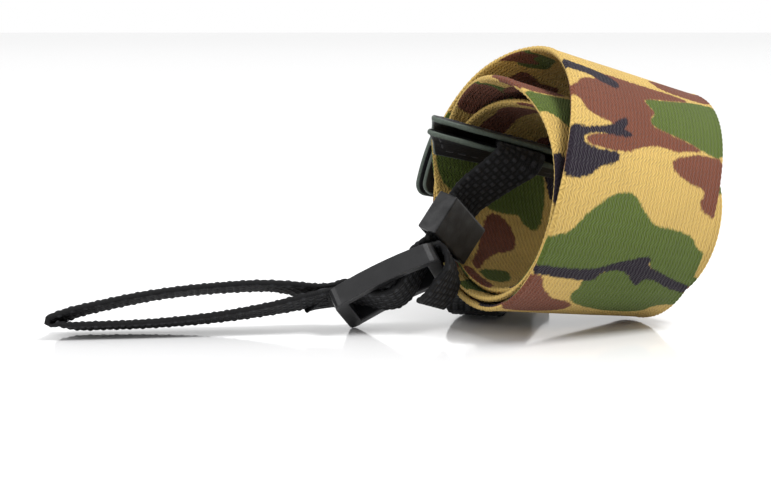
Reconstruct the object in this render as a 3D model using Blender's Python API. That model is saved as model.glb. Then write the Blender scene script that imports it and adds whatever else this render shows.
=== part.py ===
"""Camouflage camera strap, rolled up: a wide woven neck band with a leather tab on each end.

Each tab holds the end of a narrow webbing that carries a moulded keeper and a moulded adjuster
and turns back through the adjuster to make the loop for the camera's lug.
All sizes are metres. The strap stands on z = 0 with +X along its length.
"""

import math

import bpy
import bmesh
from mathutils import Matrix, Vector

MM = 0.001

# Neck band
BAND_WIDTH = 38 * MM
BAND_THICKNESS = 1.0 * MM

# Leather end tabs: two layers with the band end and the webbing end between them
TAB_LENGTH = 15 * MM
LEATHER_THICKNESS = 1.0 * MM
TAB_CORNER = 2.5 * MM
TAB_OVERLAP = 10 * MM
JOINT_GAP = 0.6 * MM
MOUTH_RUN = 1.2 * MM
SQUARE_RUN = 4 * MM
LAYER_GAP = 0.3 * MM

# Narrow webbing
WEBBING_WIDTH = 10 * MM
WEBBING_THICKNESS = 1.0 * MM
STRAND_PITCH = WEBBING_THICKNESS + LAYER_GAP

# Moulded keeper: a flat sleeve
KEEPER_LENGTH = 8 * MM
KEEPER_SIDE_WALL = 1.2 * MM
KEEPER_FACE_WALL = 0.7 * MM

# Moulded adjuster: two rails joined by three bars
ADJUSTER_LENGTH = 21 * MM
ADJUSTER_THICKNESS = 3.8 * MM
RAIL_WIDTH = 1.95 * MM
END_BAR_WIDTH = 2.5 * MM
CENTRE_BAR_WIDTH = 2.0 * MM
BAR_THICKNESS = 1.8 * MM
ADJUSTER_CORNER = 1.6 * MM
ADJUSTER_ARCH = 0.6 * MM
STRAND_GAP = 0.4 * MM

FIT_GAP = 0.3 * MM
MOULDED_EDGE = 0.35 * MM

# Stitching
THREAD_RADIUS = 0.25 * MM
STITCH_INSET = 2.2 * MM
BOX_STITCH_INSET = 1.6 * MM

# Where the roll lies: its axis points to the near left and rises toward it
ROLL_HEADING = Vector((-0.85, -0.53, 0))
ROLL_RISE = math.radians(10.7)
ROLL_CENTRE = Vector((-2.4 * MM, 0, 25.4 * MM))

# The band's route, one row per station from the outer end inward:
# quarter turns past the first crest, radius, shift along the axis, lean of the width in degrees
ROLL_STATIONS = (
    (-1.12, 25.8, -2.0, 2.0),
    (-0.5, 24.4, -4.5, 3.0),
    (0.0, 23.4, -6.0, 4.0),
    (1.0, 22.7, 2.3, 4.0),
    (2.0, 22.6, -2.0, 4.0),
    (3.0, 21.7, -3.4, 4.0),
    (4.0, 16.4, 3.0, 4.0),
    (5.0, 20.3, 1.6, 3.0),
    (6.0, 20.9, -2.2, 4.0),
    (7.0, 20.0, -3.4, 4.0),
    (8.0, 13.2, -5.0, 4.0),
    (9.0, 17.4, -4.0, 3.0),
    (10.0, 19.2, -4.6, 4.0),
    (10.5, 18.3, -3.0, 4.0),
)
# The inner end leaves the spiral and arches over: toward the front, up, along the axis,
# and in degrees the lean and the swing of the width
INNER_END_ROWS = (
    (-16.4, -6.2, -1.6, 4.0, 0.0),
    (-16.8, -1.2, 0.0, 4.5, 0.0),
    (-15.6, 3.0, 2.2, 5.0, 0.0),
    (-12.4, 5.8, 4.9, 6.0, 0.0),
    (-8.2, 6.6, 7.8, 6.5, 4.0),
    (-3.82, 5.8, 10.4, 6.0, 8.0),
)
ROLL_STEPS = 1000

STRIP_SPACING = 2.4 * MM
WEBBING_SPACING = 1.2 * MM
BEND_STEPS = 12
STATION_STEP = 0.2 * MM
MOST_TURN = math.radians(11)

# Places of the moulded pieces: centre, travel direction along the webbing, direction of the width
KEEPER_A_PLACE = ((-25.0, -4.9, 18.9), (-0.52, -0.28, -0.78), (-0.45, -0.70, 0.55))
ADJUSTER_A_PLACE = ((-36.6, -6.9, 8.5), (-0.9, 0.0, -0.44), (-0.33, -0.88, 0.35))
KEEPER_B_PLACE = ((-14.6, 28.4, 12.6), (0.05, 0.75, -0.65), (-0.96, 0.27, 0.1))
ADJUSTER_B_PLACE = ((-11.8, 36.5, 4.0), (-0.27, -0.96, 0.0), (-0.96, 0.27, 0.0))

# Free stretches of webbing A in order from the tab: centre and direction of the width
LEAD_A = (
    ((-13.0, -4.1, 31.5), (-0.86, -0.38, 0.34)),
)
LOOP_A_OUT = (
    ((-58.0, -7.8, 8.4), (-0.16, -0.95, 0.27)),
    ((-68.0, -8.8, 8.2), (-0.12, -0.96, 0.24)),
    ((-79.0, -10.2, 7.2), (-0.10, -0.97, 0.22)),
    ((-89.0, -11.5, 5.4), (-0.10, -0.97, 0.22)),
    ((-95.2, -12.3, 3.9), (-0.10, -0.97, 0.22)),
    ((-98.0, -12.7, 2.6), (-0.10, -0.97, 0.22)),
)
LOOP_A_BACK = (
    ((-95.6, -12.4, 1.8), (-0.10, -0.97, 0.22)),
    ((-89.0, -11.5, 1.65), (-0.10, -0.97, 0.22)),
    ((-79.0, -10.2, 1.9), (-0.10, -0.97, 0.22)),
    ((-68.0, -8.8, 2.8), (-0.12, -0.96, 0.24)),
    ((-58.0, -7.8, 4.3), (-0.16, -0.95, 0.27)),
    ((-50.0, -7.0, 5.9), (-0.22, -0.92, 0.32)),
)
TAIL_A = (
    ((-26.2, -8.6, 8.6), (-0.42, -0.84, 0.33)),
    ((-27.6, -8.4, 6.4), (-0.46, -0.83, 0.3)),
    ((-29.2, -7.9, 4.8), (-0.5, -0.82, 0.27)),
)
# Rows just outside the adjuster, along it and off it: coming in, going out, coming back, tail
BESIDE_A = (
    (),
    ((9.9, 3.4), (11.7, 4.3)),
    ((11.7, 3.0), (9.9, 2.1)),
    ((-10.7, 1.75), (-11.8, 1.1), (-12.1, -0.6), (-11.4, -3.0)),
)
BESIDE_B = (
    ((-11.0, 3.1),),
    ((10.9, 3.0), (13.4, 3.1)),
    ((13.4, 1.8), (10.9, 1.7)),
    ((-11.2, 1.75),),
)

# Free stretches of webbing B, hidden behind and under the roll
LEAD_B = (
    ((-15.2, 22.3, 18.2), (-0.88, -0.35, 0.2)),
)
BACK_BEND_B = (
    ((-12.8, 37.0, 9.2), (-0.96, 0.27, 0.0)),
    ((-11.2, 43.0, 9.0), (-0.96, 0.27, 0.0)),
    ((-9.6, 49.0, 7.2), (-0.96, 0.27, 0.0)),
    ((-8.8, 52.2, 4.0), (-0.96, 0.27, 0.0)),
    ((-9.3, 50.4, 1.3), (-0.96, 0.27, 0.0)),
)
LOOP_B_OUT = (
    ((-17.4, 16.5, 0.9), (-0.96, 0.27, 0.0)),
    ((-19.4, 9.0, 0.9), (-0.96, 0.27, 0.0)),
    ((-20.9, 3.9, 2.5), (-0.96, 0.27, 0.0)),
)
LOOP_B_BACK = (
    ((-19.5, 8.8, 4.1), (-0.96, 0.27, 0.0)),
    ((-17.4, 16.5, 3.4), (-0.96, 0.27, 0.0)),
)
TAIL_B = (
    ((-8.4, 48.6, 2.6), (-0.96, 0.27, 0.0)),
)

COLOURS = {
    "camouflage": ((0.30, 0.24, 0.10, 1), 0.85),
    "leather": ((0.012, 0.014, 0.013, 1), 0.42),
    "webbing": ((0.008, 0.008, 0.010, 1), 0.8),
    "moulded": ((0.014, 0.015, 0.017, 1), 0.35),
    "thread": ((0.010, 0.010, 0.012, 1), 0.6),
}


def clear_scene():
    for obj in list(bpy.data.objects):
        bpy.data.objects.remove(obj, do_unlink=True)


def material_for(obj, kind):
    colour, roughness = COLOURS[kind]
    material = bpy.data.materials.new(obj.name)
    material.use_nodes = True
    shader = material.node_tree.nodes["Principled BSDF"]
    shader.inputs["Base Color"].default_value = colour
    shader.inputs["Roughness"].default_value = roughness
    shader.inputs["Metallic"].default_value = 0.0
    obj.data.materials.append(material)


def frame_from(place):
    """A frame whose x axis is the travel, y the width and z the side of the lead strand."""
    centre, travel, width = place
    x_axis = Vector(travel).normalized()
    z_axis = x_axis.cross(Vector(width)).normalized()
    y_axis = z_axis.cross(x_axis)
    frame = Matrix((x_axis, y_axis, z_axis)).transposed().to_4x4()
    frame.translation = Vector(centre) * MM
    return frame


def smooth_value(stations, column, at):
    """The value of one column of the stations at a place between them, on a smooth curve."""
    places = [row[0] for row in stations]
    values = [row[column] for row in stations]
    last = len(places) - 1
    i = 0
    while i < last - 1 and at > places[i + 1]:
        i += 1

    def slope(k):
        low, high = max(k - 1, 0), min(k + 1, last)
        return (values[high] - values[low]) / (places[high] - places[low])

    span = places[i + 1] - places[i]
    t = (at - places[i]) / span
    return (
        values[i] * (2 * t**3 - 3 * t**2 + 1)
        + slope(i) * span * (t**3 - 2 * t**2 + t)
        + values[i + 1] * (3 * t**2 - 2 * t**3)
        + slope(i + 1) * span * (t**3 - t**2)
    )


class Route:
    """A path for a flat strip, given as points that each have the direction of the width.

    Past the row number square_from, the widths turn to right angles with the travel.
    """

    def __init__(self, points, square_from=None):
        self.points = [Vector(point) for point, _ in points]
        self.widths = [Vector(width).normalized() for _, width in points]
        self.along = [0.0]
        for before, after in zip(self.points, self.points[1:]):
            self.along.append(self.along[-1] + (after - before).length)
        self.length = self.along[-1]
        if square_from is not None:
            for i in range(square_from, len(self.points)):
                travel = self.tangent(i)
                share = min(1, (self.along[i] - self.along[square_from]) / SQUARE_RUN)
                skew = travel * self.widths[i].dot(travel)
                self.widths[i] = (self.widths[i] - skew * share).normalized()

    def at(self, distance):
        """The centre, the direction of travel, that of the width and the normal."""
        last = len(self.points) - 2
        low, high = 0, last
        while low < high:
            middle = (low + high + 1) // 2
            if self.along[middle] <= distance:
                low = middle
            else:
                high = middle - 1
        span = self.along[low + 1] - self.along[low]
        t = (distance - self.along[low]) / span
        centre = self.points[low].lerp(self.points[low + 1], t)
        travel = self.tangent(low).lerp(self.tangent(low + 1), t).normalized()
        width = self.widths[low].lerp(self.widths[low + 1], t).normalized()
        return centre, travel, width, width.cross(travel).normalized()

    def tangent(self, i):
        before = self.points[max(i - 1, 0)]
        after = self.points[min(i + 1, len(self.points) - 1)]
        return (after - before).normalized()

    def beside(self, distance, across, off):
        """The point so far across the width and so far off the middle surface."""
        centre, _, width, normal = self.at(distance)
        return centre + width * across + normal * off


def smooth_points(rows, steps=BEND_STEPS):
    """Catmull-Rom points through the rows, spaced by the square root of the chord."""
    rows = [(Vector(point), Vector(width).normalized()) for point, width in rows]
    first = (rows[0][0] * 2 - rows[1][0], rows[0][1])
    end = (rows[-1][0] * 2 - rows[-2][0], rows[-1][1])
    padded = [first, *rows, end]
    found = [rows[0]]
    for a, b, c, d in zip(padded, padded[1:], padded[2:], padded[3:]):
        t0 = 0.0
        t1 = t0 + math.sqrt((b[0] - a[0]).length)
        t2 = t1 + math.sqrt((c[0] - b[0]).length)
        t3 = t2 + math.sqrt((d[0] - c[0]).length)
        for k in range(1, steps + 1):
            share = k / steps
            t = t1 + (t2 - t1) * share
            ab = a[0].lerp(b[0], (t - t0) / (t1 - t0))
            bc = b[0].lerp(c[0], (t - t1) / (t2 - t1))
            cd = c[0].lerp(d[0], (t - t2) / (t3 - t2))
            abc = ab.lerp(bc, (t - t0) / (t2 - t0))
            bcd = bc.lerp(cd, (t - t1) / (t3 - t1))
            found.append((abc.lerp(bcd, (t - t1) / (t2 - t1)), b[1].lerp(c[1], share)))
    return found


def roll_route():
    """The middle surface of the band, from tab B's mouth inward to tab A's mouth."""
    heading = ROLL_HEADING.normalized()
    axis = heading * math.cos(ROLL_RISE) + Vector((0, 0, math.sin(ROLL_RISE)))
    front = heading.cross(Vector((0, 0, -1)))
    upward = axis.cross(front)
    first, last = ROLL_STATIONS[0][0], ROLL_STATIONS[-1][0]
    points = []
    for i in range(ROLL_STEPS + 1):
        quarter = first + (last - first) * i / ROLL_STEPS
        radius = smooth_value(ROLL_STATIONS, 1, quarter) * MM
        shift = smooth_value(ROLL_STATIONS, 2, quarter) * MM
        lean = math.radians(smooth_value(ROLL_STATIONS, 3, quarter))
        angle = math.pi / 2 * (1 - quarter)
        outward = front * math.cos(angle) + upward * math.sin(angle)
        width = axis * math.cos(lean) + outward * math.sin(lean)
        points.append((ROLL_CENTRE + outward * radius + axis * shift, width))
    inner_end = [points[-ROLL_STEPS // 50], points[-1]]
    for ahead, up, shift, lean, swing in INNER_END_ROWS:
        away = front * ahead + upward * up
        width = axis + away.normalized() * math.tan(math.radians(lean))
        width -= front * math.tan(math.radians(swing))
        inner_end.append((ROLL_CENTRE + (away + axis * shift) * MM, width))
    return Route(points + smooth_points(inner_end)[BEND_STEPS + 1:])


def stations(route, start, end, spacing):
    """Distances along a route, closer together where it bends."""
    steps = max(2, math.ceil((end - start) / STATION_STEP))
    found = [start]
    travel = route.at(start)[1]
    for i in range(1, steps):
        place = start + (end - start) * i / steps
        new = route.at(place)[1]
        if place - found[-1] >= spacing or travel.angle(new) >= MOST_TURN:
            found.append(place)
            travel = new
    found.append(end)
    return found


def strip(name, kind, route, start, end, width, thickness, spacing, off=0.0, corners=(0, 0), frame=None):
    """A flat strip with soft edges along part of a route, its ends' corners rounded."""
    half, thick = width / 2, thickness / 2
    edge = min(thick * 0.6, half)
    places = stations(route, start, end, spacing)
    for corner, from_end in zip(corners, (lambda d: start + d, lambda d: end - d)):
        if corner:
            places += [from_end(corner * (1 - math.cos(math.radians(a)))) for a in (22, 45, 68, 90)]
    places = sorted(set(round(place, 6) for place in places))
    mesh = bmesh.new()
    rings = []
    for place in places:
        narrow = 0.0
        for corner, distance in zip(corners, (place - start, end - place)):
            if corner and distance < corner:
                narrow = corner - math.sqrt(max(corner**2 - (corner - distance) ** 2, 0))
        side = half - narrow * 0.98
        outline = (
            (-side, -thick + edge), (-side + edge, -thick), (side - edge, -thick),
            (side, -thick + edge), (side, thick - edge), (side - edge, thick),
            (-side + edge, thick), (-side, thick - edge),
        )
        rings.append([mesh.verts.new(route.beside(place, across, off + up)) for across, up in outline])
    for before, after in zip(rings, rings[1:]):
        for i in range(len(before)):
            j = (i + 1) % len(before)
            mesh.faces.new((before[i], before[j], after[j], after[i]))
    mesh.faces.new(rings[0])
    mesh.faces.new(list(reversed(rings[-1])))
    return finish(name, kind, mesh, frame)


def finish(name, kind, mesh, frame):
    """Makes the object of a bmesh, with its origin at the frame when the mesh is in the world."""
    if frame is not None:
        bmesh.ops.transform(mesh, matrix=frame.inverted(), verts=mesh.verts)
    bmesh.ops.recalc_face_normals(mesh, faces=mesh.faces)
    data = bpy.data.meshes.new(name)
    mesh.to_mesh(data)
    mesh.free()
    data.shade_smooth()
    data.set_sharp_from_angle(angle=math.radians(40))
    obj = bpy.data.objects.new(name, data)
    bpy.context.scene.collection.objects.link(obj)
    obj.parent = stand
    if frame is not None:
        obj.matrix_local = frame
    material_for(obj, kind)
    return obj


def block_mesh(breaks, filled):
    """A closed mesh of the boxes between the breaks for which filled(x, y, z) is true."""
    mesh = bmesh.new()
    corners = {}

    def corner(i, j, k):
        if (i, j, k) not in corners:
            corners[i, j, k] = mesh.verts.new((breaks[0][i], breaks[1][j], breaks[2][k]))
        return corners[i, j, k]

    counts = [len(axis) - 1 for axis in breaks]

    def solid(cell):
        if any(c < 0 or c >= n for c, n in zip(cell, counts)):
            return False
        return filled(*[(breaks[a][c] + breaks[a][c + 1]) / 2 for a, c in enumerate(cell)])

    for cell in ((i, j, k) for i in range(counts[0]) for j in range(counts[1]) for k in range(counts[2])):
        if not solid(cell):
            continue
        for axis in range(3):
            for step in (0, 1):
                beyond = list(cell)
                beyond[axis] += 1 if step else -1
                if solid(tuple(beyond)):
                    continue
                one, two = (axis + 1) % 3, (axis + 2) % 3
                square = []
                for a, b in ((0, 0), (1, 0), (1, 1), (0, 1)):
                    index = list(cell)
                    index[axis] += step
                    index[one] += a
                    index[two] += b
                    square.append(corner(*index))
                mesh.faces.new(square if step else list(reversed(square)))
    return mesh


def moulded(name, mesh, frame):
    """A moulded piece in its own frame, with soft edges."""
    obj = finish(name, "moulded", mesh, None)
    obj.matrix_local = frame
    bevel = obj.modifiers.new("edges", "BEVEL")
    bevel.width = MOULDED_EDGE
    bevel.segments = 2
    bevel.limit_method = "ANGLE"
    bevel.angle_limit = math.radians(40)
    return obj


def make_keeper(name, frame):
    """A sleeve with room for two strands."""
    half = KEEPER_LENGTH / 2
    inner_side = WEBBING_WIDTH / 2 + FIT_GAP
    inner_face = WEBBING_THICKNESS + LAYER_GAP / 2 + FIT_GAP
    outer_side = inner_side + KEEPER_SIDE_WALL
    outer_face = inner_face + KEEPER_FACE_WALL
    breaks = (
        (-half, half),
        (-outer_side, -inner_side, inner_side, outer_side),
        (-outer_face, -inner_face, inner_face, outer_face),
    )
    mesh = block_mesh(breaks, lambda x, y, z: abs(y) > inner_side or abs(z) > inner_face)
    return moulded(name, mesh, frame)


def arch(x):
    """How far the adjuster bows away from its flat shape at a place along it."""
    return ADJUSTER_ARCH * (0.5 - (2 * x / ADJUSTER_LENGTH) ** 2)


def make_adjuster(name, frame):
    """Two rails joined by end bars, flush on the far side, and by a thinner centre bar."""
    half = ADJUSTER_LENGTH / 2
    rail_in = WEBBING_WIDTH / 2 + FIT_GAP
    rail_out = rail_in + RAIL_WIDTH
    face = ADJUSTER_THICKNESS / 2
    bar = BAR_THICKNESS / 2
    window_end = half - END_BAR_WIDTH
    centre = CENTRE_BAR_WIDTH / 2
    breaks = (
        (-half, -window_end, -window_end / 2, -centre, centre, window_end / 2, window_end, half),
        (-rail_out, -rail_in, rail_in, rail_out),
        (-face, -bar, bar, face),
    )

    def filled(x, y, z):
        if abs(y) > rail_in:
            return True
        if abs(x) > window_end:
            return z < bar
        return abs(x) < centre and abs(z) < bar

    mesh = block_mesh(breaks, filled)
    mesh.normal_update()
    flat = [
        edge for edge in mesh.edges
        if edge.calc_face_angle(0) < 1e-3 and all(abs(face.normal.z) < 0.5 for face in edge.link_faces)
    ]
    bmesh.ops.dissolve_edges(mesh, edges=flat, use_verts=True)
    corners = [
        edge for edge in mesh.edges
        if all(abs(abs(v.co.x) - half) < 1e-6 and abs(abs(v.co.y) - rail_out) < 1e-6 for v in edge.verts)
    ]
    bmesh.ops.bevel(mesh, geom=corners, offset=ADJUSTER_CORNER, segments=3, profile=0.5, affect="EDGES")
    for vertex in mesh.verts:
        vertex.co.z += arch(vertex.co.x)
    return moulded(name, mesh, frame)


def strands_in_adjuster(frame):
    """The lead strand through the adjuster, and the strand that comes back under it."""
    face = BAR_THICKNESS / 2 + STRAND_GAP + WEBBING_THICKNESS / 2
    top = face + STRAND_PITCH
    reach = ADJUSTER_LENGTH / 2 - END_BAR_WIDTH + STRAND_GAP
    middle, swing = (top - face) / 2, (top + face) / 2
    width = frame.to_3x3() @ Vector((0, 1, 0))
    lead, back = [], []
    steps = 24
    for i in range(-steps, steps + 1):
        x = reach * i / steps
        turn = math.pi * x / reach
        z = middle - swing * math.cos(turn) + arch(x)
        slope = swing * math.pi / reach * math.sin(turn) - 8 * ADJUSTER_ARCH * x / ADJUSTER_LENGTH**2
        normal = Vector((-slope, 0, 1)).normalized()
        point = Vector((x, 0, z))
        lead.append((frame @ point, width))
        back.append((frame @ (point - normal * STRAND_PITCH), width))
    back.reverse()
    return lead, back


def in_frame(frame, rows):
    """Rows of a strand given as millimetres along a frame and off it."""
    width = frame.to_3x3() @ Vector((0, 1, 0))
    return [(frame @ (Vector((x, 0, z)) * MM), width) for x, z in rows]


def straight_in(frame, from_x, to_x, z, count=4):
    """Rows of a straight strand in a frame."""
    width = frame.to_3x3() @ Vector((0, 1, 0))
    rows = []
    for i in range(count):
        x = from_x + (to_x - from_x) * i / (count - 1)
        rows.append((frame @ Vector((x, 0, z)), width))
    return rows


def in_metres(rows):
    return [(Vector(point) * MM, Vector(width)) for point, width in rows]


def webbing_route(start, lead, keeper, between, adjuster, beside, out, back, tail):
    """From inside the tab, through keeper and adjuster, round the loop and back to the tail's end.

    Beside holds the rows just outside the adjuster: in, out, back and tail, in its frame.
    """
    top, under = strands_in_adjuster(adjuster)
    arriving, leaving, coming, ending = [in_frame(adjuster, rows) for rows in beside]
    run = KEEPER_LENGTH
    in_keeper = straight_in(keeper, -run * 0.8, run / 2 + 2 * FIT_GAP, STRAND_PITCH / 2)
    free_ends = smooth_points(
        [*start[-2:], *in_metres(lead), *in_keeper, *in_metres(between), *arriving, *top[:2]]
    )
    loop = smooth_points([*top[-2:], *leaving, *in_metres(out), *in_metres(back), *coming, *under[:2]])
    end = smooth_points([*under[-2:], *ending, *in_metres(tail)])
    rows = [*start[:-2], *free_ends, *top[2:-2], *loop, *under[2:-2], *end]
    return Route(rows, square_from=len(start) - 1)


def thread(name, route, rows, off):
    """One closed run of thread on a leather face, through rows of (distance, across)."""
    data = bpy.data.curves.new(name, "CURVE")
    data.dimensions = "3D"
    data.bevel_depth = THREAD_RADIUS
    data.bevel_resolution = 1
    spline = data.splines.new("POLY")
    spline.points.add(len(rows) - 1)
    spline.use_cyclic_u = True
    for point, (distance, across) in zip(spline.points, rows):
        point.co = (*route.beside(distance, across, off), 1)
    obj = bpy.data.objects.new(name, data)
    bpy.context.scene.collection.objects.link(obj)
    obj.parent = stand
    material_for(obj, "thread")
    return obj


def rectangle_rows(low, high, side, step):
    """A closed rectangle of rows, with points along its lengthwise sides."""
    count = max(1, round((high - low) / step))
    places = [low + (high - low) * i / count for i in range(count + 1)]
    return [(place, side) for place in places] + [(place, -side) for place in reversed(places)]


def make_tab(letter, band, mouth, inward):
    """Two leather layers and their stitching. The mouth is where the webbing comes out."""
    far = mouth + inward * TAB_LENGTH
    low, high = min(mouth, far), max(mouth, far)
    corners = (TAB_CORNER, 0) if inward > 0 else (0, TAB_CORNER)
    off = (BAND_THICKNESS + LEATHER_THICKNESS) / 2 + LAYER_GAP
    on_face = off + LEATHER_THICKNESS / 2 + FIT_GAP + THREAD_RADIUS
    box_far = mouth + inward * (TAB_OVERLAP - BOX_STITCH_INSET)
    box_near = mouth + inward * BOX_STITCH_INSET * 2
    for side, sign in (("outer", 1), ("inner", -1)):
        strip(
            f"tab_{letter}_{side}", "leather", band, low, high, BAND_WIDTH, LEATHER_THICKNESS,
            STRIP_SPACING, off=sign * off, corners=corners,
        )
        rows = rectangle_rows(
            low + STITCH_INSET, high - STITCH_INSET, BAND_WIDTH / 2 - STITCH_INSET, STRIP_SPACING
        )
        thread(f"edge_thread_{letter}_{side}", band, rows, sign * on_face)
        rows = rectangle_rows(
            min(box_near, box_far), max(box_near, box_far),
            WEBBING_WIDTH / 2 - BOX_STITCH_INSET, STRIP_SPACING,
        )
        thread(f"box_thread_{letter}_{side}", band, rows, sign * on_face)


def mouth_rows(band, mouth, inward):
    """The webbing's stretch between the leather layers, from its cut end to the mouth."""
    rows = []
    steps = 6
    for i in range(steps + 1):
        place = mouth + inward * TAB_OVERLAP * (1 - i / steps)
        centre, _, width, _ = band.at(place)
        rows.append((centre, width))
    centre, travel, width, _ = band.at(mouth)
    rows.append((centre - travel * inward * MOUTH_RUN, width))
    return rows


def make_webbing(letter, route):
    frame = Matrix.Translation(route.at(TAB_OVERLAP)[0])
    return strip(
        f"webbing_{letter}", "webbing", route, 0.0, route.length, WEBBING_WIDTH,
        WEBBING_THICKNESS, WEBBING_SPACING, frame=frame,
    )


def stand_on_origin():
    """Moves the whole strap so that the middle of its box's underside is the origin."""
    bpy.context.view_layer.update()
    graph = bpy.context.evaluated_depsgraph_get()
    corners = []
    for obj in bpy.context.scene.objects:
        if obj.type in ("MESH", "CURVE"):
            seen = obj.evaluated_get(graph)
            mesh = seen.to_mesh()
            corners += [seen.matrix_world @ vertex.co for vertex in mesh.vertices]
            seen.to_mesh_clear()
    low = [min(point[axis] for point in corners) for axis in range(3)]
    high = [max(point[axis] for point in corners) for axis in range(3)]
    stand.location = (-(low[0] + high[0]) / 2, -(low[1] + high[1]) / 2, -low[2])


clear_scene()
stand = bpy.data.objects.new("stand", None)
bpy.context.scene.collection.objects.link(stand)

band_route = roll_route()
mouth_b, mouth_a = 0.0, band_route.length
band_end = TAB_OVERLAP + JOINT_GAP
strip(
    "neck_band", "camouflage", band_route, mouth_b + band_end, mouth_a - band_end, BAND_WIDTH,
    BAND_THICKNESS, STRIP_SPACING,
)
make_tab("a", band_route, mouth_a, -1)
make_tab("b", band_route, mouth_b, 1)

keeper_a = frame_from(KEEPER_A_PLACE)
adjuster_a = frame_from(ADJUSTER_A_PLACE)
webbing_a = webbing_route(
    mouth_rows(band_route, mouth_a, -1), LEAD_A, keeper_a, (), adjuster_a,
    BESIDE_A, LOOP_A_OUT, LOOP_A_BACK, TAIL_A,
)
make_webbing("a", webbing_a)
make_keeper("keeper_a", keeper_a)
make_adjuster("adjuster_a", adjuster_a)

keeper_b = frame_from(KEEPER_B_PLACE)
adjuster_b = frame_from(ADJUSTER_B_PLACE)
webbing_b = webbing_route(
    mouth_rows(band_route, mouth_b, 1), LEAD_B, keeper_b, BACK_BEND_B, adjuster_b,
    BESIDE_B, LOOP_B_OUT, LOOP_B_BACK, TAIL_B,
)
make_webbing("b", webbing_b)
make_keeper("keeper_b", keeper_b)
make_adjuster("adjuster_b", adjuster_b)

stand_on_origin()
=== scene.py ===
"""Looks of a rolled camouflage camera strap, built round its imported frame.

The flexible pieces follow the same routes as the solids they stand for. Routes are in
millimetres from the place where the roll lies, and STAND moves them into the part's frame.
"""

import math
import random

import bpy
import numpy as np
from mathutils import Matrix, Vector


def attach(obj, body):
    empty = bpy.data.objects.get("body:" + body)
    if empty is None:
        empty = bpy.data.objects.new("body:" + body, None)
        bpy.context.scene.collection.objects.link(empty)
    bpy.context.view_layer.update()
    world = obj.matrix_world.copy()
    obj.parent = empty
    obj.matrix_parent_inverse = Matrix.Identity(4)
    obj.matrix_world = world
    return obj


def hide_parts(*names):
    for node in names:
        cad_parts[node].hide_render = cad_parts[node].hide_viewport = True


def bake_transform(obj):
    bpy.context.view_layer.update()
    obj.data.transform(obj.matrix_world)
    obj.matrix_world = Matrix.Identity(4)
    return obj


MM = 0.001
STAND = np.array([36.6469, -11.0699, 0.3540])

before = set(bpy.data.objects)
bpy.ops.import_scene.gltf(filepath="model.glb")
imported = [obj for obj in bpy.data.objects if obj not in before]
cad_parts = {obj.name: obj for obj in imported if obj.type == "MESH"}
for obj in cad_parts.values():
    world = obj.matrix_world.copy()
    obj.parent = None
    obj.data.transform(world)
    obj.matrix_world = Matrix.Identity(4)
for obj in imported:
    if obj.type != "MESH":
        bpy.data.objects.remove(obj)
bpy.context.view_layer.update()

# ---------------------------------------------------------------- sizes of the strap

BAND_WIDTH, BAND_THICKNESS = 38.0, 1.0
TAB_LENGTH, LEATHER, TAB_CORNER, TAB_OVERLAP = 15.0, 1.0, 2.5, 10.0
JOINT_GAP, MOUTH_RUN, SQUARE_RUN, LAYER_GAP = 0.6, 1.2, 4.0, 0.3
WEBBING_WIDTH, WEBBING_THICKNESS, STRAND_PITCH = 10.0, 1.0, 1.3
KEEPER_LENGTH, FIT_GAP = 8.0, 0.3
ADJUSTER_LENGTH, END_BAR_WIDTH, BAR_THICKNESS = 21.0, 2.5, 1.8
ADJUSTER_ARCH, STRAND_GAP = 0.6, 0.4
STITCH_INSET, BOX_STITCH_INSET = 2.2, 1.6

RIB_PITCH, SELVEDGE_PITCH, SELVEDGE_WIDTH, SELVEDGE_HEIGHT = 0.9, 1.25, 1.6, 0.16
YARN_PITCH, YARN_COLUMNS, YARN_HEIGHT = 1.2, 8, 0.24
STITCH_LENGTH, BOX_STITCH_LENGTH, STITCH_GAP, STITCH_RADIUS = 2.3, 1.7, 0.55, 0.27
STITCH_RINGS, STITCH_SIDES = 7, 6
BAND_STEPS, LEATHER_STEPS = (0.45, 0.45), (0.4, 0.4)
LONG_WEBBING_STEPS, TUCKED_WEBBING_STEPS = (0.17, 0.16), (0.2, 0.18)

ROLL_HEADING = np.array([-0.85, -0.53, 0.0])
ROLL_RISE = math.radians(10.7)
ROLL_CENTRE = np.array([-2.4, 0.0, 25.4])
ROLL_STATIONS = (
    (-1.12, 25.8, -2.0, 2.0), (-0.5, 24.4, -4.5, 3.0), (0.0, 23.4, -6.0, 4.0),
    (1.0, 22.7, 2.3, 4.0), (2.0, 22.6, -2.0, 4.0), (3.0, 21.7, -3.4, 4.0),
    (4.0, 16.4, 3.0, 4.0), (5.0, 20.3, 1.6, 3.0), (6.0, 20.9, -2.2, 4.0),
    (7.0, 20.0, -3.4, 4.0), (8.0, 13.2, -5.0, 4.0), (9.0, 17.4, -4.0, 3.0),
    (10.0, 19.2, -4.6, 4.0), (10.5, 18.3, -3.0, 4.0),
)
INNER_END_ROWS = (
    (-16.4, -6.2, -1.6, 4.0, 0.0), (-16.8, -1.2, 0.0, 4.5, 0.0), (-15.6, 3.0, 2.2, 5.0, 0.0),
    (-12.4, 5.8, 4.9, 6.0, 0.0), (-8.2, 6.6, 7.8, 6.5, 4.0), (-3.82, 5.8, 10.4, 6.0, 8.0),
)
ROLL_STEPS = 1000
BEND_STEPS = 12

KEEPER_A_PLACE = ((-25.0, -4.9, 18.9), (-0.52, -0.28, -0.78), (-0.45, -0.70, 0.55))
ADJUSTER_A_PLACE = ((-36.6, -6.9, 8.5), (-0.9, 0.0, -0.44), (-0.33, -0.88, 0.35))
KEEPER_B_PLACE = ((-14.6, 28.4, 12.6), (0.05, 0.75, -0.65), (-0.96, 0.27, 0.1))
ADJUSTER_B_PLACE = ((-11.8, 36.5, 4.0), (-0.27, -0.96, 0.0), (-0.96, 0.27, 0.0))

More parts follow.
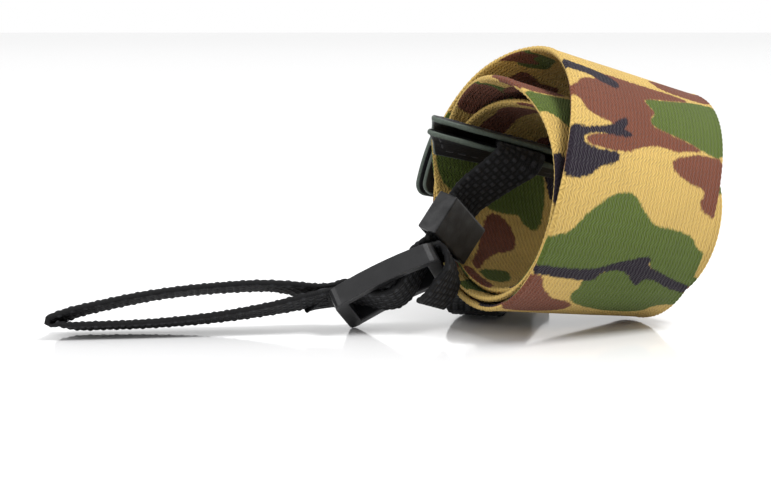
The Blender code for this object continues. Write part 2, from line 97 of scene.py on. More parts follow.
# Free stretches of webbing A in order from the tab: centre and direction of the width
LEAD_A = (
    ((-13.0, -4.1, 31.5), (-0.86, -0.38, 0.34)),
)
LOOP_A_OUT = (
    ((-58.0, -7.8, 8.4), (-0.16, -0.95, 0.27)),
    ((-68.0, -8.8, 8.2), (-0.12, -0.96, 0.24)),
    ((-79.0, -10.2, 7.2), (-0.10, -0.97, 0.22)),
    ((-89.0, -11.5, 5.4), (-0.10, -0.97, 0.22)),
    ((-95.2, -12.3, 3.9), (-0.10, -0.97, 0.22)),
    ((-98.0, -12.7, 2.6), (-0.10, -0.97, 0.22)),
)
LOOP_A_BACK = (
    ((-95.6, -12.4, 1.8), (-0.10, -0.97, 0.22)),
    ((-89.0, -11.5, 1.65), (-0.10, -0.97, 0.22)),
    ((-79.0, -10.2, 1.9), (-0.10, -0.97, 0.22)),
    ((-68.0, -8.8, 2.8), (-0.12, -0.96, 0.24)),
    ((-58.0, -7.8, 4.3), (-0.16, -0.95, 0.27)),
    ((-50.0, -7.0, 5.9), (-0.22, -0.92, 0.32)),
)
TAIL_A = (
    ((-26.2, -8.6, 8.6), (-0.42, -0.84, 0.33)),
    ((-27.6, -8.4, 6.4), (-0.46, -0.83, 0.3)),
    ((-29.2, -7.9, 4.8), (-0.5, -0.82, 0.27)),
)
# Rows just outside the adjuster, along it and off it: coming in, going out, coming back, tail
BESIDE_A = (
    (),
    ((9.9, 3.4), (11.7, 4.3)),
    ((11.7, 3.0), (9.9, 2.1)),
    ((-10.7, 1.75), (-11.8, 1.1), (-12.1, -0.6), (-11.4, -3.0)),
)
BESIDE_B = (
    ((-11.0, 3.1),),
    ((10.9, 3.0), (13.4, 3.1)),
    ((13.4, 1.8), (10.9, 1.7)),
    ((-11.2, 1.75),),
)

# Free stretches of webbing B, hidden behind and under the roll
LEAD_B = (
    ((-15.2, 22.3, 18.2), (-0.88, -0.35, 0.2)),
)
BACK_BEND_B = (
    ((-12.8, 37.0, 9.2), (-0.96, 0.27, 0.0)),
    ((-11.2, 43.0, 9.0), (-0.96, 0.27, 0.0)),
    ((-9.6, 49.0, 7.2), (-0.96, 0.27, 0.0)),
    ((-8.8, 52.2, 4.0), (-0.96, 0.27, 0.0)),
    ((-9.3, 50.4, 1.3), (-0.96, 0.27, 0.0)),
)
LOOP_B_OUT = (
    ((-17.4, 16.5, 0.9), (-0.96, 0.27, 0.0)),
    ((-19.4, 9.0, 0.9), (-0.96, 0.27, 0.0)),
    ((-20.9, 3.9, 2.5), (-0.96, 0.27, 0.0)),
)
LOOP_B_BACK = (
    ((-19.5, 8.8, 4.1), (-0.96, 0.27, 0.0)),
    ((-17.4, 16.5, 3.4), (-0.96, 0.27, 0.0)),
)
TAIL_B = (
    ((-8.4, 48.6, 2.6), (-0.96, 0.27, 0.0)),
)


def unit(vector):
    """The vector, or each row of vectors, at length one."""
    vector = np.asarray(vector, float)
    return vector / np.linalg.norm(vector, axis=-1, keepdims=True)


class Place:
    """A frame whose x axis is the travel, y the width and z the side of the lead strand."""

    def __init__(self, place):
        self.centre = np.array(place[0], float)
        self.x = unit(place[1])
        self.z = unit(np.cross(self.x, unit(place[2])))
        self.y = np.cross(self.z, self.x)

    def row(self, x, z):
        return self.centre + self.x * x + self.z * z, self.y


def smooth_value(stations, column, at):
    """A column of the stations, read smoothly at a place between them."""
    places = [row[0] for row in stations]
    values = [row[column] for row in stations]
    last = len(places) - 1
    i = 0
    while i < last - 1 and at > places[i + 1]:
        i += 1

    def slope(k):
        low, high = max(k - 1, 0), min(k + 1, last)
        return (values[high] - values[low]) / (places[high] - places[low])

    span = places[i + 1] - places[i]
    t = (at - places[i]) / span
    return (
        values[i] * (2 * t**3 - 3 * t**2 + 1)
        + slope(i) * span * (t**3 - 2 * t**2 + t)
        + values[i + 1] * (3 * t**2 - 2 * t**3)
        + slope(i + 1) * span * (t**3 - t**2)
    )


class Route:
    """A path for a flat strip: points that each have the direction of the width."""

    def __init__(self, rows, square_from=None):
        self.points = np.array([row[0] for row in rows], float)
        self.widths = unit([row[1] for row in rows])
        steps = np.linalg.norm(np.diff(self.points, axis=0), axis=1)
        self.along = np.concatenate([[0.0], np.cumsum(steps)])
        self.length = float(self.along[-1])
        ahead = np.vstack([self.points[1:], self.points[-1:]])
        behind = np.vstack([self.points[:1], self.points[:-1]])
        self.travels = unit(ahead - behind)
        if square_from is not None:
            share = np.clip((self.along - self.along[square_from]) / SQUARE_RUN, 0, 1)[:, None]
            skew = (self.widths * self.travels).sum(1, keepdims=True) * self.travels
            self.widths = unit(self.widths - skew * share)

    def _read(self, values, distances):
        return np.stack([np.interp(distances, self.along, values[:, k]) for k in range(3)], -1)

    def at(self, distances):
        """Centres, directions of travel and of the width, and normals."""
        centre = self._read(self.points, distances)
        travel = unit(self._read(self.travels, distances))
        width = unit(self._read(self.widths, distances))
        return centre, travel, width, unit(np.cross(width, travel))


def smooth_points(rows):
    """Catmull-Rom points through the rows, spaced by the square root of the chord."""
    rows = [(np.array(point, float), unit(width)) for point, width in rows]
    first = (rows[0][0] * 2 - rows[1][0], rows[0][1])
    end = (rows[-1][0] * 2 - rows[-2][0], rows[-1][1])
    padded = [first, *rows, end]
    found = [rows[0]]
    for a, b, c, d in zip(padded, padded[1:], padded[2:], padded[3:]):
        t0 = 0.0
        t1 = t0 + math.sqrt(np.linalg.norm(b[0] - a[0]) * MM)
        t2 = t1 + math.sqrt(np.linalg.norm(c[0] - b[0]) * MM)
        t3 = t2 + math.sqrt(np.linalg.norm(d[0] - c[0]) * MM)
        for k in range(1, BEND_STEPS + 1):
            share = k / BEND_STEPS
            t = t1 + (t2 - t1) * share
            ab = a[0] + (b[0] - a[0]) * (t - t0) / (t1 - t0)
            bc = b[0] + (c[0] - b[0]) * (t - t1) / (t2 - t1)
            cd = c[0] + (d[0] - c[0]) * (t - t2) / (t3 - t2)
            abc = ab + (bc - ab) * (t - t0) / (t2 - t0)
            bcd = bc + (cd - bc) * (t - t1) / (t3 - t1)
            found.append((abc + (bcd - abc) * (t - t1) / (t2 - t1), b[1] + (c[1] - b[1]) * share))
    return found


def roll_route():
    """The band's spiral from tab B on the outside to tab A inside the roll."""
    heading = unit(ROLL_HEADING)
    axis = heading * math.cos(ROLL_RISE) + np.array([0, 0, math.sin(ROLL_RISE)])
    front = np.cross(heading, [0, 0, -1])
    upward = np.cross(axis, front)
    first, last = ROLL_STATIONS[0][0], ROLL_STATIONS[-1][0]
    rows = []
    for i in range(ROLL_STEPS + 1):
        quarter = first + (last - first) * i / ROLL_STEPS
        radius, shift, lean = (smooth_value(ROLL_STATIONS, column, quarter) for column in (1, 2, 3))
        angle = math.pi / 2 * (1 - quarter)
        outward = front * math.cos(angle) + upward * math.sin(angle)
        width = axis + outward * math.tan(math.radians(lean))
        rows.append((ROLL_CENTRE + outward * radius + axis * shift, width))
    inner_end = [rows[-ROLL_STEPS // 50], rows[-1]]
    for ahead, up, shift, lean, swing in INNER_END_ROWS:
        away = front * ahead + upward * up
        width = axis + unit(away) * math.tan(math.radians(lean))
        width = width - front * math.tan(math.radians(swing))
        inner_end.append((ROLL_CENTRE + away + axis * shift, width))
    return Route(rows + smooth_points(inner_end)[BEND_STEPS + 1:])


def arch(x):
    """How far the adjuster bows away from its flat shape at a place along it."""
    return ADJUSTER_ARCH * (0.5 - (2 * x / ADJUSTER_LENGTH) ** 2)


def strands_in_adjuster(place):
    """The lead strand through the adjuster, and the strand that comes back under it."""
    face = BAR_THICKNESS / 2 + STRAND_GAP + WEBBING_THICKNESS / 2
    top = face + STRAND_PITCH
    reach = ADJUSTER_LENGTH / 2 - END_BAR_WIDTH + STRAND_GAP
    middle, swing = (top - face) / 2, (top + face) / 2
    lead, back = [], []
    steps = 24
    for i in range(-steps, steps + 1):
        x = reach * i / steps
        turn = math.pi * x / reach
        z = middle - swing * math.cos(turn) + arch(x)
        slope = swing * math.pi / reach * math.sin(turn) - 8 * ADJUSTER_ARCH * x / ADJUSTER_LENGTH**2
        normal = unit([-slope, 1])
        lead.append(place.row(x, z))
        back.append(place.row(x - normal[0] * STRAND_PITCH, z - normal[1] * STRAND_PITCH))
    return lead, back[::-1]


def mouth_rows(band, mouth, inward):
    """The webbing's stretch between the leather layers, up to just past the mouth."""
    steps = 6
    distances = [mouth + inward * TAB_OVERLAP * (1 - i / steps) for i in range(steps + 1)]
    centre, travel, width, _ = band.at(np.array(distances))
    rows = list(zip(centre, width))
    rows.append((centre[-1] - travel[-1] * inward * MOUTH_RUN, width[-1]))
    return rows


def webbing_route(start, lead, keeper, between, adjuster, beside, out, back, tail):
    """The whole webbing: tab, keeper, adjuster, lug loop, and back through the adjuster."""
    top, under = strands_in_adjuster(adjuster)
    arriving, leaving, coming, ending = [[adjuster.row(*row) for row in rows] for rows in beside]
    run_in, run_out = -KEEPER_LENGTH * 0.8, KEEPER_LENGTH / 2 + 2 * FIT_GAP
    in_keeper = [keeper.row(run_in + (run_out - run_in) * i / 3, STRAND_PITCH / 2) for i in range(4)]
    free = smooth_points([*start[-2:], *lead, *in_keeper, *between, *arriving, *top[:2]])
    loop = smooth_points([*top[-2:], *leaving, *out, *back, *coming, *under[:2]])
    end = smooth_points([*under[-2:], *ending, *tail])
    rows = [*start[:-2], *free, *top[2:-2], *loop, *under[2:-2], *end]
    return Route(rows, square_from=len(start) - 1)


# ---------------------------------------------------------------- mesh building


def new_object(name, points, faces, attributes):
    """A mesh object in the part's frame from points in millimetres."""
    data = bpy.data.meshes.new(name)
    data.from_pydata(((points + STAND) * MM).tolist(), [], faces)
    for key, values in attributes.items():
        layer = data.attributes.new(key, "FLOAT", "POINT")
        layer.data.foreach_set("value", np.asarray(values, np.float32).ravel())
    data.shade_smooth()
    data.update()
    obj = bpy.data.objects.new(name, data)
    bpy.context.scene.collection.objects.link(obj)
    return obj


def ribbon(name, route, start, end, width, thickness, steps, off=0.0, corners=(0, 0), relief=None):
    """A closed strip along a route. steps are its spacings along and across.

    relief(along, across) gives how far the surface stands out at a place on a face.
    """
    half, thick = width / 2, thickness / 2
    soft = thick * 0.9
    places = np.linspace(start, end, max(3, round((end - start) / steps[0])) + 1)
    rounding = soft * (1 - np.cos(np.radians([12, 35, 62, 90])))
    places = np.unique(np.round(np.concatenate([places, start + rounding, end - rounding]), 4))
    across = np.linspace(-half + soft, half - soft, max(3, round(width / steps[1])) + 1)
    arc = np.radians([30, 60, 90, 120, 150])
    sideways = half - soft + soft * np.sin(arc)
    upward = thick * np.cos(arc)
    a = np.concatenate([across, sideways, across[::-1], -sideways])
    u = np.concatenate([np.full(len(across), thick), upward, np.full(len(across), -thick), -upward])
    side = np.concatenate([np.ones(len(across)), np.cos(arc), -np.ones(len(across)), -np.cos(arc)])
    edge = np.concatenate([np.zeros(len(across)), np.ones(5), np.zeros(len(across)), np.ones(5)])
    centre, _, wide, normal = route.at(places)
    near_end = np.minimum(places - start, end - places)
    thin = np.sqrt(np.clip(1 - (1 - np.clip(near_end / soft, 0, 1)) ** 2, 0, 1))
    narrow = np.zeros(len(places))
    for corner, distance in zip(corners, (places - start, end - places)):
        if corner:
            inside = np.clip(corner - distance, 0, corner)
            narrow = np.maximum(narrow, corner - np.sqrt(corner**2 - inside**2))
    grid_s = np.repeat(places[:, None], len(a), 1)
    grid_a = a[None, :] * (half - narrow[:, None]) / half
    grid_u = u[None, :] * (0.35 + 0.65 * thin[:, None])
    raised = np.zeros(grid_s.shape)
    if relief is not None:
        raised = relief(grid_s, grid_a) * thin[:, None]
        grid_u = grid_u + side[None, :] * raised
    points = (
        centre[:, None, :]
        + wide[:, None, :] * grid_a[..., None]
        + normal[:, None, :] * (off + grid_u)[..., None]
    )
    count = len(a)
    ring = np.arange(count)
    faces = []
    for i in range(len(places) - 1):
        low = i * count + ring
        nxt = i * count + np.roll(ring, -1)
        faces.extend(np.stack([low, nxt, nxt + count, low + count], 1).tolist())
    faces.append(ring[::-1].tolist())
    faces.append(((len(places) - 1) * count + ring).tolist())
    raw = np.maximum(np.repeat(edge[None, :], len(places), 0), (near_end < soft)[:, None])
    attributes = {
        "along": grid_s,
        "across": grid_a,
        "side": np.repeat(side[None, :], len(places), 0),
        "raw": raw,
        "raised": raised,
    }
    return new_object(name, points.reshape(-1, 3), faces, attributes), grid_s, grid_a


def basket(pitch_along, pitch_across, height):
    """The relief of a basket weave: yarns that pass over and under in turn."""

    def relief(along, across):
        v, u = along / pitch_along, across / pitch_across
        over = (np.floor(u) + np.floor(v)) % 2
        fu, fv = u - np.floor(u), v - np.floor(v)
        warp = np.sin(math.pi * fv) * (1 - (2 * fu - 1) ** 4)
        weft = np.sin(math.pi * fu) * (1 - (2 * fv - 1) ** 4)
        return height * np.where(over > 0, warp, 0.6 * weft) - height * 0.35

    return relief


def selvedge(height, pitch, half):
    """The relief of a ribbed band with a rope-like selvedge."""

    def relief(along, across):
        near = np.clip((np.abs(across) - (half - SELVEDGE_WIDTH)) / 0.5, 0, 1)
        cord = 0.5 + 0.5 * np.cos(2 * math.pi * along / pitch)
        rib = np.cos(2 * math.pi * across / RIB_PITCH) * 0.25
        return height * (near * cord + (1 - near) * rib) - height * 0.3

    return relief


def stitches(name, route, corners, off, length=STITCH_LENGTH):
    """One run of stitches along a closed outline of (distance, across) corners."""
    loop = np.array([*corners, corners[0]], float)
    sizes = np.linalg.norm(np.diff(loop, axis=0), axis=1)
    points, faces = [], []
    rings, sides = STITCH_RINGS, STITCH_SIDES
    for begin, finish, size in zip(loop, loop[1:], sizes):
        count = max(1, round(size / (length + STITCH_GAP)))
        for k in range(count):
            shares = (k + np.linspace(0.08, 0.92, rings)) / count
            spots = begin + (finish - begin) * shares[:, None]
            centre, travel, wide, normal = route.at(spots[:, 0])
            lift = np.sin(np.linspace(0, math.pi, rings)) ** 0.5
            height = off + math.copysign(0.16, off) * (lift - 1.6)
            middle = centre + wide * spots[:, 1:2] + normal * height[:, None]
            along = unit(np.gradient(middle, axis=0))
            beside = unit(np.cross(normal, along))
            size_here = STITCH_RADIUS * (0.45 + 0.55 * lift)
            base = len(points)
            for i in range(rings):
                for j in range(sides):
                    turn = 2 * math.pi * j / sides
                    out = beside[i] * math.cos(turn) + normal[i] * math.sin(turn)
                    points.append(middle[i] + out * size_here[i])
            for i in range(rings - 1):
                for j in range(sides):
                    n = (j + 1) % sides
                    low = base + i * sides
                    faces.append([low + j, low + n, low + sides + n, low + sides + j])
            faces.append([base + j for j in reversed(range(sides))])
            faces.append([base + (rings - 1) * sides + j for j in range(sides)])
    points = np.array(points)
    return new_object(name, points, faces, {"along": np.arange(len(points)) % sides})


# ---------------------------------------------------------------- the camouflage print

# Print shapes on the band's outer face, in millimetres along the band and across it
OUTER_SHAPES = {
    "brown": (
        ((55.6, 20), (56.5, 15), (57.8, 11.8), (58.6, 15.5), (59.8, 16.8), (61.6, 18.2), (62.2, 20),
         (64.2, 20), (64.4, 17.2), (66.4, 16), (67.6, 13), (67.8, 9.5), (70, 9), (70.8, 13), (71.9, 16),
         (73.2, 14.5), (73.3, 9), (73, 5), (71.2, 1.5), (70.3, -3), (70.8, -7), (70, -10), (69.4, -13.5),
         (68.3, -11), (67.4, -6), (66.6, -1), (65.6, 0.3), (64.2, -0.5), (62.9, -1.4), (61.6, 0.2),
         (60.3, 1.1), (59.3, -0.5), (58.6, -4), (57, -9), (55.6, -12.5), (54.8, -8), (55, 0), (54.8, 15)),
        ((70.2, -20), (69.8, -14.5), (70.8, -10), (72, -6.5), (73.3, -5.8), (74.8, -7), (76, -10),
         (76.6, -14), (77.4, -15.4), (79, -14.4), (80.2, -14.6), (81.2, -16), (82.2, -20)),
        ((96.8, 20), (96.9, 16.5), (99.5, 15.5), (101.5, 13), (103.3, 11), (103.8, 7.5), (105.5, 4.5),
         (108, 5), (110, 8), (111, 14), (109, 20)),
        ((48, -4), (53, -4), (54.4, -8), (54.2, -20), (46, -20)),
        ((180, 20), (192.5, 20), (192, 15), (191, 10), (188, 5), (182, 8)),
    ),
    "green": (
        ((60.3, 1), (61.6, 0.2), (62.9, -1.4), (64.2, -0.5), (65.6, 0.3), (66.8, -1.3), (67.5, -6),
         (68.4, -11), (69.5, -14), (70.3, -20), (54.3, -20), (55.5, -13), (57, -9), (58.6, -4), (59.3, -0.5)),
        ((89.2, 20), (95.5, 20), (95.8, 14), (95.4, 8), (95.5, 4), (93.6, 1.5), (92.2, -2.5), (91.4, -6),
         (93, -6.8), (94.8, -10), (96.4, -15), (97.8, -20), (89.5, -20), (88, -16.5), (85.8, -14.5),
         (85, -10), (85, -5), (84, -3), (82, -0.5), (80.3, 1.5), (79.8, 3.5), (80.5, 6.5), (82, 9),
         (84.5, 12), (88.5, 15)),
        ((94.8, 3.2), (96.3, 4.8), (97.6, 7.5), (99, 6.6), (101, 7.6), (103, 7), (105, 4.5), (106.5, 0),
         (108, -5), (107.5, -13), (103.5, -14.2), (103, -20), (98.6, -20), (97.4, -14), (95.4, -10),
         (95.4, -6), (97, -5.4), (95.2, -3), (93.6, -0.5)),
        ((192.8, 20), (198.6, 20), (198.2, 16.5), (200.5, 14), (204, 12), (202, 6), (190, 4), (191.5, 10),
         (192.3, 15)),
    ),
    "dark": (
        ((53.6, 20), (57.2, 20), (56.8, 14), (58.4, 11), (59.3, 8), (58.5, 6.5), (56.8, 6.8), (55.2, 9),
         (54.2, 13)),
        ((70.2, 20), (79, 20), (79.2, 16.5), (78.5, 13.5), (76.5, 11.5), (75.6, 8.5), (74.8, 7),
         (73.4, 7.2), (73.3, 10), (73.6, 13.5), (72.8, 15.8), (71.8, 16), (70.8, 14), (70.3, 9.5),
         (70.3, 6.5), (69.8, 4.4), (69.1, 4.6), (68.8, 6.8), (67.4, 5.6), (66.2, 5.8), (66.2, 6.8),
         (68.3, 9.3), (69.2, 12), (70, 15.5)),
        ((94.6, 20), (96.6, 20), (97, 15), (97.5, 9), (97.4, 4.2), (96.2, 4.6), (94.9, 3), (94.2, -0.5),
         (95.6, -3.2), (97.6, -5.2), (97.8, -6.4), (95.8, -6.6), (96, -10), (98, -14), (99, -20),
         (97, -20), (95.4, -14), (93.8, -9.5), (93, -6.6), (91, -6.4), (90.8, -4.8), (92, -1.5),
         (93.2, 2.5), (94.7, 6), (95, 12)),
        ((206.3, 20), (206.2, 17.5), (208, 15), (212, 14), (216, 20)),
    ),
}
# The same for the stretch of the inner face that shows inside the roll
INNER_SHAPES = {
    "brown": (
        ((366, 16.5), (368, 16.2), (371, 13), (375, 11), (379, 8.4), (379.4, 6), (378, 4), (375, 3),
         (372.3, 3.8), (371, 6.5), (370.5, 9.5), (368, 13.5), (366.2, 15)),
        ((357, 20), (359, 16.5), (363.5, 16.8), (366.8, 17.4), (366, 20)),
    ),
    "green": (
        ((361.5, 15), (363, 16.2), (366, 16), (366, 12), (366, 9), (363, 10), (361.5, 13)),
        ((379.6, 7), (379.4, 3), (379.8, 1), (377.5, 0.2), (376.4, -2), (378, -4), (383, -6),
         (390, -6.5), (398, -4), (398, 17), (388.5, 18.6), (383, 17.5), (382, 12), (381, 9)),
    ),
    "dark": (((383, -7), (388, -6.8), (396, -5), (398, -9), (386, -9.5)),),
}
OUTER_WINDOWS = ((47, 112), (182, 214))
INNER_WINDOWS = ((356, 400),)


def rounded(corners, rounds=2):
    """Cuts the corners of an outline, so that it reads as a printed shape."""
    points = np.array(corners, float)
    for _ in range(rounds):
        after = np.roll(points, -1, axis=0)
        points = np.stack([points * 0.75 + after * 0.25, points * 0.25 + after * 0.75], 1).reshape(-1, 2)
    return points


def inside_by(outline, s, t, reach=2.0):
    """How far places are inside an outline, in millimetres, and negative outside it."""
    result = np.full(s.shape, -reach)
    low, high = outline.min(0) - reach, outline.max(0) + reach
    near = (s > low[0]) & (s < high[0]) & (t > low[1]) & (t < high[1])
    ps, pt = s[near], t[near]
    if not len(ps):
        return result
    closest = np.full(ps.shape, 1e9)
    crossings = np.zeros(ps.shape, int)
    for (x0, y0), (x1, y1) in zip(outline, np.roll(outline, -1, axis=0)):
        dx, dy = x1 - x0, y1 - y0
        share = np.clip(((ps - x0) * dx + (pt - y0) * dy) / (dx * dx + dy * dy + 1e-12), 0, 1)
        closest = np.minimum(closest, np.hypot(ps - x0 - dx * share, pt - y0 - dy * share))
        spans = (y0 > pt) != (y1 > pt)
        crossings += spans & (ps < x0 + dx * (pt - y0) / (dy if abs(dy) > 1e-12 else 1e-12))
    result[near] = np.where(crossings % 2 == 1, closest, -closest)
    return result


def chance_shapes(seed, windows, length):
    """Irregular print shapes for the stretches that have none of their own."""
    chance = random.Random(seed)
    shapes = {"brown": [], "green": [], "dark": []}
    for colour, spacing, size in (("green", 9.0, 7.0), ("brown", 11.0, 6.0), ("dark", 16.0, 4.2)):
        s = 0.0
        while s < length:
            centre = (s + chance.uniform(-3, 3), chance.uniform(-19, 19))
            stretch = chance.uniform(0.6, 1.7)
            outline = []
            for k in range(11):
                angle = 2 * math.pi * k / 11
                radius = size * chance.uniform(0.45, 1.25)
                outline.append((
                    centre[0] + radius * math.cos(angle) / stretch,
                    centre[1] + radius * math.sin(angle) * stretch,
                ))
            if not any(low - size < centre[0] < high + size for low, high in windows):
                shapes[colour].append(tuple(outline))
            s += spacing * chance.uniform(0.55, 1.0)
    return shapes


def print_layers(s, t, side):
    """How far each place is inside the green, brown and dark of its own face's print."""
    layers = {}
    faces = (
        (side > 0, OUTER_SHAPES, chance_shapes(7, OUTER_WINDOWS, 405)),
        (side <= 0, INNER_SHAPES, chance_shapes(19, INNER_WINDOWS, 405)),
    )
    for colour in ("green", "brown", "dark"):
        layer = np.full(s.shape, -2.0)
        for here, placed, random_ones in faces:
            hs, ht = s[here], t[here]
            found = np.full(hs.shape, -2.0)
            for outline in (*placed[colour], *random_ones[colour]):
                found = np.maximum(found, inside_by(rounded(outline), hs, ht))
            layer[here] = found
        layers[colour] = layer
    return layers


# ---------------------------------------------------------------- materials


class Look:
    """A procedural material, built node by node."""

    def __init__(self, name, roughness=0.6, sheen=0.0, specular=0.4):
        self.material = bpy.data.materials.new(name)
        self.material.use_nodes = True
        self.nodes = self.material.node_tree.nodes
        self.links = self.material.node_tree.links
        self.shader = self.nodes["Principled BSDF"]
        self.shader.inputs["Roughness"].default_value = roughness
        self.shader.inputs["Sheen Weight"].default_value = sheen
        self.shader.inputs["Specular IOR Level"].default_value = specular

    def add(self, kind, **values):
        node = self.nodes.new(kind)
        for key, value in values.items():
            setattr(node, key, value)
        return node

    def join(self, source, target):
        self.links.new(source, target)

    def attribute(self, name):
        return self.add("ShaderNodeAttribute", attribute_name=name).outputs["Fac"]

    def math(self, operation, *values):
        node = self.add("ShaderNodeMath", operation=operation)
        for socket, value in zip(node.inputs, values):
            if isinstance(value, (int, float)):
                socket.default_value = value
            else:
                self.join(value, socket)
        return node.outputs[0]

    def noise(self, scale, detail=4.0, roughness=0.6):
        node = self.add("ShaderNodeTexNoise")
        place = self.add("ShaderNodeTexCoord")
        node.inputs["Scale"].default_value = scale
        node.inputs["Detail"].default_value = detail
        node.inputs["Roughness"].default_value = roughness
        self.join(place.outputs["Object"], node.inputs["Vector"])
        return node.outputs["Fac"]

    def between(self, share, low, high):
        """share turned into a value from 0 at low to 1 at high."""
        node = self.add("ShaderNodeMapRange")
        node.inputs["From Min"].default_value = low
        node.inputs["From Max"].default_value = high
        self.join(share, node.inputs["Value"])
        return node.outputs["Result"]

    def blend(self, share, first, second):
        """A colour that goes from first to second with share."""
        node = self.add("ShaderNodeMix", data_type="RGBA")
        self.join(share, node.inputs[0])
        for index, colour in ((6, first), (7, second)):
            if isinstance(colour, tuple):
                node.inputs[index].default_value = (*colour, 1)
            else:
                self.join(colour, node.inputs[index])
        return node.outputs[2]

    def colour(self, source):
        self.join(source, self.shader.inputs["Base Color"])

    def roughness(self, share, low, high):
        node = self.add("ShaderNodeMapRange")
        node.inputs["To Min"].default_value = low
        node.inputs["To Max"].default_value = high
        self.join(share, node.inputs["Value"])
        self.join(node.outputs["Result"], self.shader.inputs["Roughness"])

    def bump(self, height, strength, distance):
        node = self.add("ShaderNodeBump")
        node.inputs["Strength"].default_value = strength
        node.inputs["Distance"].default_value = distance
        self.join(height, node.inputs["Height"])
        self.join(node.outputs["Normal"], self.shader.inputs["Normal"])


TAN, GREEN = (0.66, 0.45, 0.13), (0.090, 0.135, 0.018)
BROWN, DARK = (0.18, 0.055, 0.028), (0.014, 0.008, 0.018)
INK_SPREAD = 0.22


def camouflage_look():
    look = Look("camouflage weave", roughness=0.8, sheen=0.05, specular=0.2)
    along, across = look.attribute("along"), look.attribute("across")
    fray = look.math("SUBTRACT", look.noise(1400, 2), 0.5)
    wander = look.math("MULTIPLY", fray, 1.1)
    colour = TAN
    for name, ink in (("green", GREEN), ("brown", BROWN), ("dark", DARK)):
        depth = look.math("ADD", look.attribute(name), wander)
        share = look.between(depth, -INK_SPREAD, INK_SPREAD)
        colour = look.blend(share, colour, ink)
    rib = look.math("SINE", look.math("MULTIPLY", across, 2 * math.pi / RIB_PITCH))
    zigzag = look.math("PINGPONG", along, 1.2)
    slant = look.math("ADD", look.math("MULTIPLY", zigzag, 4.0), look.math("MULTIPLY", across, 5.2))
    twill = look.math("SINE", look.math("MULTIPLY", slant, 1.9))
    weave = look.math("ADD", look.math("MULTIPLY", rib, 0.5), look.math("MULTIPLY", twill, 0.5))
    yarns = look.math("ADD", weave, look.math("MULTIPLY", look.noise(5000, 2), 0.7))
    shade = look.between(weave, -1.6, 1.2)
    dull = look.blend(look.noise(120, 3), (0.78, 0.78, 0.78), (1.0, 1.0, 1.0))
    mixed = look.add("ShaderNodeMix", data_type="RGBA", blend_type="MULTIPLY")
    mixed.inputs[0].default_value = 0.8
    look.join(colour, mixed.inputs[6])
    look.join(look.blend(shade, (0.45, 0.42, 0.38), (1.0, 1.0, 1.0)), mixed.inputs[7])
    worn = look.add("ShaderNodeMix", data_type="RGBA", blend_type="MULTIPLY")
    worn.inputs[0].default_value = 1.0
    look.join(mixed.outputs[2], worn.inputs[6])
    look.join(dull, worn.inputs[7])
    look.colour(worn.outputs[2])
    look.bump(yarns, 0.9, 0.00022)
    look.roughness(look.noise(900, 2), 0.7, 0.9)
    return look.material


def webbing_look():
    look = Look("black webbing", sheen=0.02, specular=0.2)
    fibres = look.math(
        "SINE",
        look.math("ADD", look.math("MULTIPLY", look.attribute("along"), 26.0),
                  look.math("MULTIPLY", look.attribute("across"), 9.0)),
    )
    loose = look.noise(2600, 3)
    height = look.between(look.attribute("raised"), 0.0, 0.11)
    # painted highlight: the raised tops of the yarns are coloured lighter grey, where light would catch them
    crown_highlight = look.math("MULTIPLY", height, look.between(loose, 0.2, 0.6))
    highlight_tint = look.blend(crown_highlight, (0.0015, 0.0015, 0.002), (0.026, 0.027, 0.030))
    look.colour(look.blend(look.between(look.noise(60, 3), 0.62, 0.8), highlight_tint, (0.022, 0.023, 0.021)))
    look.bump(look.math("ADD", fibres, look.math("MULTIPLY", loose, 2.0)), 0.5, 0.00007)
    look.roughness(loose, 0.55, 0.85)
    return look.material


def leather_look():
    look = Look("black artificial leather", specular=0.3)
    cells = look.add("ShaderNodeTexVoronoi")
    cells.inputs["Scale"].default_value = 1700
    look.join(look.add("ShaderNodeTexCoord").outputs["Object"], cells.inputs["Vector"])
    grain = look.math("ADD", cells.outputs["Distance"], look.math("MULTIPLY", look.noise(700, 4), 0.8))
    face = look.blend(look.noise(220, 4), (0.004, 0.004, 0.005), (0.010, 0.010, 0.011))
    cut = look.blend(look.noise(2400, 3), (0.03, 0.04, 0.032), (0.08, 0.10, 0.082))
    look.colour(look.blend(look.between(look.attribute("raw"), 0.3, 0.7), face, cut))
    look.bump(grain, 0.5, 0.00012)
    look.roughness(look.noise(500, 3), 0.42, 0.68)
    return look.material


def moulding_look():
    look = Look("moulded black plastic", specular=0.35)
    edges = look.add("ShaderNodeNewGeometry").outputs["Pointiness"]
    speck = look.noise(3000, 3)
    worn = look.math("MULTIPLY", look.between(edges, 0.52, 0.60), look.between(look.noise(400, 4), 0.4, 0.7))
    body = look.blend(look.noise(160, 3), (0.004, 0.004, 0.0045), (0.008, 0.008, 0.009))
    look.colour(look.blend(worn, body, (0.03, 0.03, 0.031)))
    look.bump(speck, 0.35, 0.00008)
    look.roughness(look.noise(260, 4), 0.28, 0.46)
    return look.material


def thread_look():
    look = Look("black sewing thread", sheen=0.05)
    look.colour(look.blend(look.noise(1800, 2), (0.006, 0.006, 0.007), (0.025, 0.025, 0.028)))
    twist = look.math("SINE", look.math("MULTIPLY", look.attribute("along"), 2 * math.pi / 3))
    look.bump(look.math("ADD", twist, look.noise(5200, 2)), 0.5, 0.00006)
    look.roughness(look.noise(2600, 2), 0.5, 0.75)
    return look.material


# ---------------------------------------------------------------- the strap

CAMOUFLAGE, WEBBING, LEATHER_BLACK = camouflage_look(), webbing_look(), leather_look()
MOULDING, THREAD = moulding_look(), thread_look()

